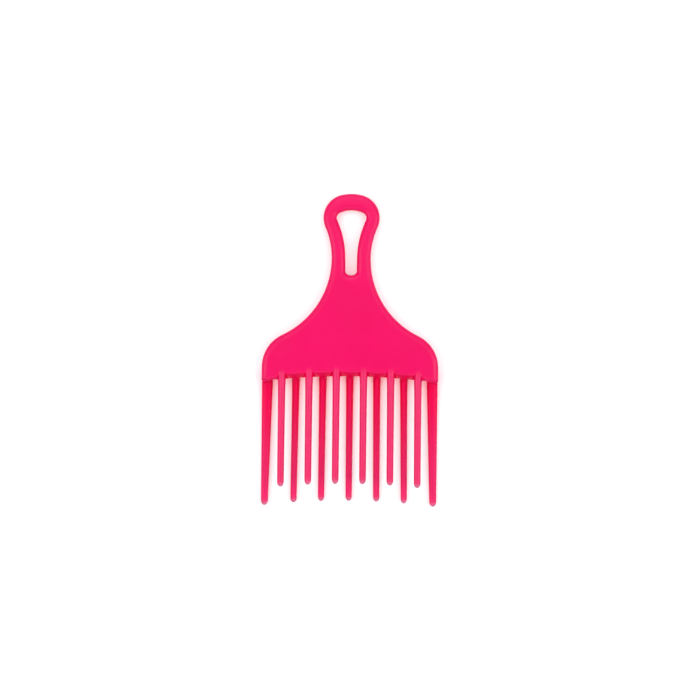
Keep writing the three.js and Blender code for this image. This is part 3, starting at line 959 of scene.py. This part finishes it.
def seen_directly(tree):
    """1 for a ray that shows the background: seen by the camera, in a reflection or through glass."""
    rays = tree.nodes.new("ShaderNodeLightPath").outputs
    kinds = ("Is Camera Ray", "Is Glossy Ray", "Is Transmission Ray")
    return combined(tree, "MAXIMUM", *[rays[kind] for kind in kinds])


def glow_share(tree, place):
    """1 on the floor at the tooth roots, falling to 0 beside the head, under it and towards the tips."""
    parts = parts_of(tree, place.outputs["Object"])
    sideways = tree.nodes.new("ShaderNodeMath")
    sideways.operation = "ABSOLUTE"
    tree.links.new(parts["X"], sideways.inputs[0])
    return combined(
        tree,
        "MULTIPLY",
        faded(tree, sideways.outputs["Value"], CAD_HIGH.x, CAD_HIGH.x + GLOW_EDGE, 1, 0),
        faded(tree, parts["Y"], GLOW_TOP, GLOW_TOP + GLOW_EDGE, 1, 0),
        faded(tree, parts["Y"], GLOW_END, GLOW_TOP, 0, 1),
    )


def near_floor(tree, settings, place, seen):
    """Matt white that keeps the comb's shadow, a little brightened, with painted pink light and painted
    shade at the tooth roots.
    """
    matt = tree.nodes.new("ShaderNodeBsdfDiffuse")
    matt.inputs["Color"].default_value = (*settings.floor_colour, 1)
    # Painted pink light and shade: at the tooth roots the added brightness turns redder and weaker in green
    # and blue
    glow = mixed_colour(tree, glow_share(tree, place), settings.root_glow)
    glow.inputs["A"].default_value = (*[settings.floor_lift] * 3, 1)
    lift = tree.nodes.new("ShaderNodeEmission")
    tree.links.new(glow.outputs["Result"], lift.inputs["Color"])
    tree.links.new(seen, lift.inputs["Strength"])
    both = tree.nodes.new("ShaderNodeAddShader")
    tree.links.new(matt.outputs["BSDF"], both.inputs[0])
    tree.links.new(lift.outputs["Emission"], both.inputs[1])
    return both.outputs["Shader"]


def floor_finish(settings):
    """Matt white floor near the comb, which turns plain white, like the background, further out."""
    material = bpy.data.materials.new("matt_white_floor")
    material.use_nodes = True
    tree = material.node_tree
    tree.nodes.clear()
    place = tree.nodes.new("ShaderNodeTexCoord")
    seen = seen_directly(tree)
    away = tree.nodes.new("ShaderNodeVectorMath")
    away.operation = "LENGTH"
    tree.links.new(place.outputs["Object"], away.inputs[0])
    far = faded(tree, away.outputs["Value"], SHADOW_END, PLAIN_START, 0, 1)
    plain = tree.nodes.new("ShaderNodeEmission")
    both = tree.nodes.new("ShaderNodeMixShader")
    tree.links.new(combined(tree, "MULTIPLY", far, seen), both.inputs["Fac"])
    tree.links.new(near_floor(tree, settings, place, seen), both.inputs[1])
    tree.links.new(plain.outputs["Emission"], both.inputs[2])
    out = tree.nodes.new("ShaderNodeOutputMaterial")
    tree.links.new(both.outputs["Shader"], out.inputs["Surface"])
    return material


def studio_floor(settings):
    """A flat square floor under the comb."""
    signs = ((-1, -1), (1, -1), (1, 1), (-1, 1))
    corners = [(x * FLOOR_HALF, y * FLOOR_HALF, FLOOR_LEVEL) for x, y in signs]
    mesh = bpy.data.meshes.new("floor")
    mesh.from_pydata(corners, [], [(0, 1, 2, 3)])
    mesh.materials.append(floor_finish(settings))
    floor = bpy.data.objects.new("floor", mesh)
    bpy.context.scene.collection.objects.link(floor)


def studio_world(scene, settings):
    """Pale walls round a dim ceiling, so that flat tops reflect little; the camera sees plain white."""
    world = bpy.data.worlds.new("studio")
    scene.world = world
    world.use_nodes = True
    tree = world.node_tree
    tree.nodes.clear()
    place = tree.nodes.new("ShaderNodeTexCoord")
    rise = parts_of(tree, place.outputs["Generated"])["Z"]
    room = faded(tree, rise, WALL_TOP, CEILING_START, settings.wall_light, settings.ceiling_light)
    path = tree.nodes.new("ShaderNodeLightPath")
    white = tree.nodes.new("ShaderNodeMix")
    white.inputs["B"].default_value = 1
    tree.links.new(path.outputs["Is Camera Ray"], white.inputs["Factor"])
    tree.links.new(room, white.inputs["A"])
    sky = tree.nodes.new("ShaderNodeBackground")
    sky.inputs["Color"].default_value = (1, 1, 1, 1)
    tree.links.new(white.outputs["Result"], sky.inputs["Strength"])
    out = tree.nodes.new("ShaderNodeOutputWorld")
    tree.links.new(sky.outputs["Background"], out.inputs["Surface"])


def softbox(name, azimuth, power):
    """A square soft lamp that faces the comb: at azimuth 0 from the tips, at a quarter from the right."""
    data = bpy.data.lights.new(name, "AREA")
    data.shape = "SQUARE"
    data.size = SOFTBOX_SIZE
    data.energy = power
    lamp = bpy.data.objects.new(name, data)
    level = math.cos(LAMP_ELEVATION)
    away = Vector((math.sin(azimuth) * level, -math.cos(azimuth) * level, math.sin(LAMP_ELEVATION)))
    lamp.location = away * SOFTBOX_DISTANCE
    lamp.rotation_euler = away.to_track_quat("Z", "Y").to_euler()
    bpy.context.scene.collection.objects.link(lamp)


def studio_camera(scene, settings):
    """A camera straight above the comb, as wide as the photograph."""
    data = bpy.data.cameras.new("camera")
    data.sensor_width = SENSOR
    data.lens = SENSOR * (settings.camera_height - CAD_HIGH.z / 2) / settings.frame_width
    camera = bpy.data.objects.new("camera", data)
    camera.location = (settings.camera_place, 0, settings.camera_height)
    camera.rotation_euler = (0, 0, settings.turn)
    scene.collection.objects.link(camera)
    scene.camera = camera


class COMB_OT_make_body(Operator):
    """Builds the body with its handle loop, hanging slot, root pockets and roots"""

    bl_idname = "comb.make_body"
    bl_label = "Body"

    def execute(self, context):
        scene = context.scene
        plan = comb_plan(scene)
        surface = body_surface(plan)
        marks = body_marks(plan, surface[0])
        piece = add_piece("body", surface, marks, satin_plastic(scene.comb_finish))
        # The less glossy plastic paints shade on the reflection in the pockets
        give_shaded_gloss(piece, marks[PAINTED_SHADE_MARK], shaded_gloss_plastic(scene.comb_finish))
        return {"FINISHED"}


class COMB_OT_make_rear_teeth(Operator):
    """Builds the round teeth of the rear row"""

    bl_idname = "comb.make_rear_teeth"
    bl_label = "Rear teeth"

    def execute(self, context):
        teeth = context.scene.comb_teeth
        widths = (teeth.rear_root_width, teeth.rear_shank_width, teeth.rear_tip_width)
        names = [f"rear_tooth_{i + 1}" for i in range(teeth.rear_count)]
        add_rear_teeth(context.scene, names, widths, ROUND)
        return {"FINISHED"}


class COMB_OT_make_end_teeth(Operator):
    """Builds the two wedge-shaped teeth that close the rear row"""

    bl_idname = "comb.make_end_teeth"
    bl_label = "End teeth"

    def execute(self, context):
        teeth = context.scene.comb_teeth
        widths = (teeth.end_root_width, teeth.end_root_width, teeth.end_tip_width)
        add_rear_teeth(context.scene, ("end_tooth_left", "end_tooth_right"), widths, FLATTENED)
        return {"FINISHED"}


class COMB_OT_make_front_teeth(Operator):
    """Builds the shorter teeth of the front row"""

    bl_idname = "comb.make_front_teeth"
    bl_label = "Front teeth"

    def execute(self, context):
        scene = context.scene
        plan = comb_plan(scene)
        teeth = plan.teeth
        widths = (teeth.front_root_width, teeth.front_shank_width, teeth.front_tip_width)
        for i in range(teeth.rear_count + 1):
            name = f"front_tooth_{i + 1}"
            surface = tooth_surface(plan, name, widths, DOWN, ROUND)
            add_piece(name, surface, tooth_marks(plan, surface[0], False), satin_plastic(scene.comb_finish))
        return {"FINISHED"}


class COMB_OT_set_studio(Operator):
    """Sets up the floor, the lamps, the pale surroundings and the camera"""

    bl_idname = "comb.set_studio"
    bl_label = "Studio"

    def execute(self, context):
        scene = context.scene
        settings = scene.comb_studio
        scene.view_settings.view_transform = "Standard"
        studio_floor(settings)
        studio_world(scene, settings)
        softbox("right_softbox", QUARTER, settings.lamp_power)
        softbox("left_softbox", -QUARTER, settings.lamp_power)
        softbox("handle_side_softbox", math.pi, settings.lamp_power * HANDLE_SHARE)
        softbox("tip_side_softbox", 0, settings.lamp_power * TIP_SHARE)
        studio_camera(scene, settings)
        return {"FINISHED"}


class COMB_PT_sidebar(Panel):
    """Lists the sizes and colours and the steps that build the comb and its studio"""

    bl_idname = "COMB_PT_sidebar"
    bl_label = "Lifting comb"
    bl_space_type = "VIEW_3D"
    bl_region_type = "UI"
    bl_category = "Comb"

    def draw(self, context):
        for name, kind in SETTINGS.items():
            box = self.layout.box()
            box.label(text=kind.__doc__)
            for setting in kind.__annotations__:
                box.prop(getattr(context.scene, name), setting)
        for step in STEPS:
            self.layout.operator(step.bl_idname)


STEPS = (
    COMB_OT_make_body,
    COMB_OT_make_rear_teeth,
    COMB_OT_make_end_teeth,
    COMB_OT_make_front_teeth,
    COMB_OT_set_studio,
)
SETTINGS = {
    "comb_body": CombBodySizes,
    "comb_teeth": CombToothSizes,
    "comb_finish": CombFinish,
    "comb_studio": CombStudio,
}
CLASSES = (*SETTINGS.values(), *STEPS, COMB_PT_sidebar)


def register():
    """Makes the classes known to Blender and gives every scene its settings."""
    for kind in CLASSES:
        bpy.utils.register_class(kind)
    for name, kind in SETTINGS.items():
        setattr(bpy.types.Scene, name, PointerProperty(type=kind))


def unregister():
    """Takes the settings and the classes away again."""
    for name in SETTINGS:
        delattr(bpy.types.Scene, name)
    for kind in reversed(CLASSES):
        bpy.utils.unregister_class(kind)


def main():
    register()
    bpy.ops.comb.make_body()
    bpy.ops.comb.make_rear_teeth()
    bpy.ops.comb.make_end_teeth()
    bpy.ops.comb.make_front_teeth()
    bpy.ops.comb.set_studio()


if __name__ == "__main__":
    main()
